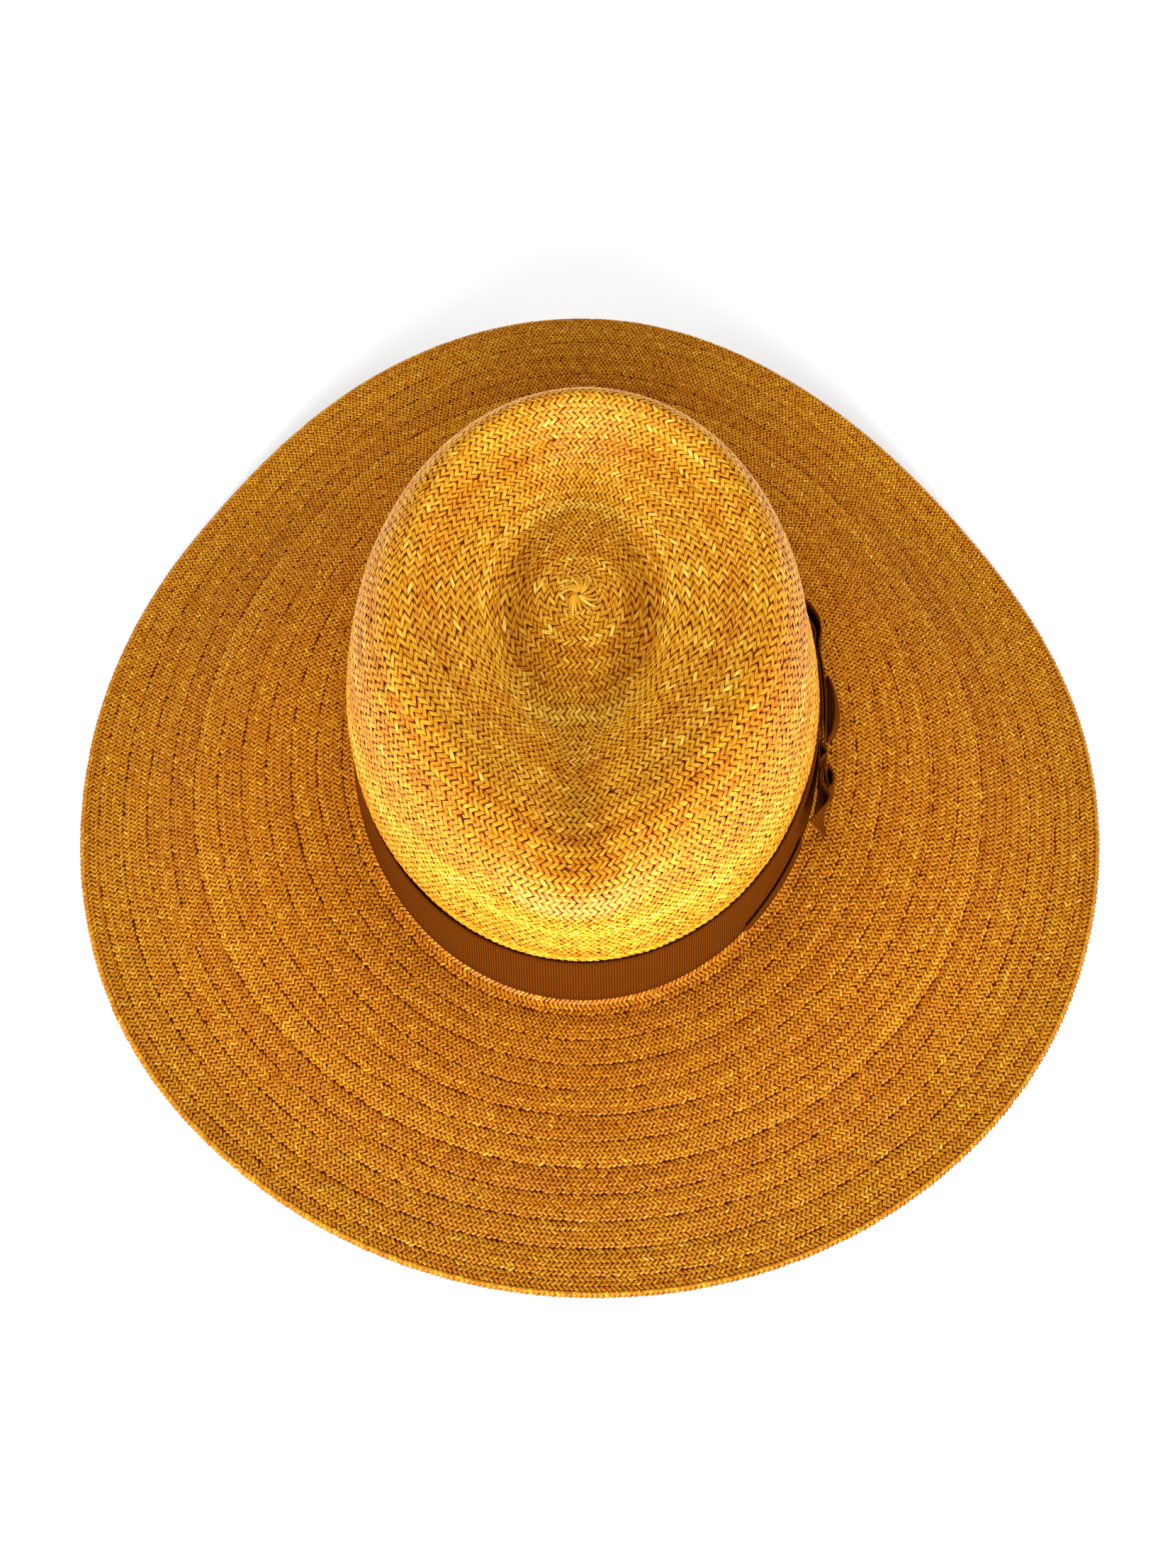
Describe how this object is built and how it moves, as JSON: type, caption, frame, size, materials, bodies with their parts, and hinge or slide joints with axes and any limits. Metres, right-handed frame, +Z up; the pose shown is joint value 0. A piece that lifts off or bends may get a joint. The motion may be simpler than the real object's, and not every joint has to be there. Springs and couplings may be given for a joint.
{
  "type": "straw fedora",
  "caption": "Wide-brimmed woven straw fedora with a teardrop dent in its crown, a ribbed ribbon band and a folded side bow.",
  "frame": {"origin": "on the floor that the brim rests on, under the middle of the brim", "axes": "+Z up through the crown, -Y towards the front of the hat, +X towards the wearer's left, where the bow is"},
  "size_m": [0.3817, 0.38, 0.1106],
  "materials": {
    "straw": "woven golden brown straw in a herringbone of flat strands, slightly glossy",
    "ribbon": "matt brown grosgrain ribbon with fine upright ribs"
  },
  "bodies": {
    "root": {"straw_body": "straw", "hat_band": "ribbon", "band_lap": "ribbon", "bow_knot": "ribbon", "bow_back_layer": "ribbon", "bow_front_layer": "ribbon", "bow_rear_loop": "ribbon", "bow_twist": "ribbon", "bow_small_loop": "ribbon", "bow_tail": "ribbon"}
  },
  "joints": []
}
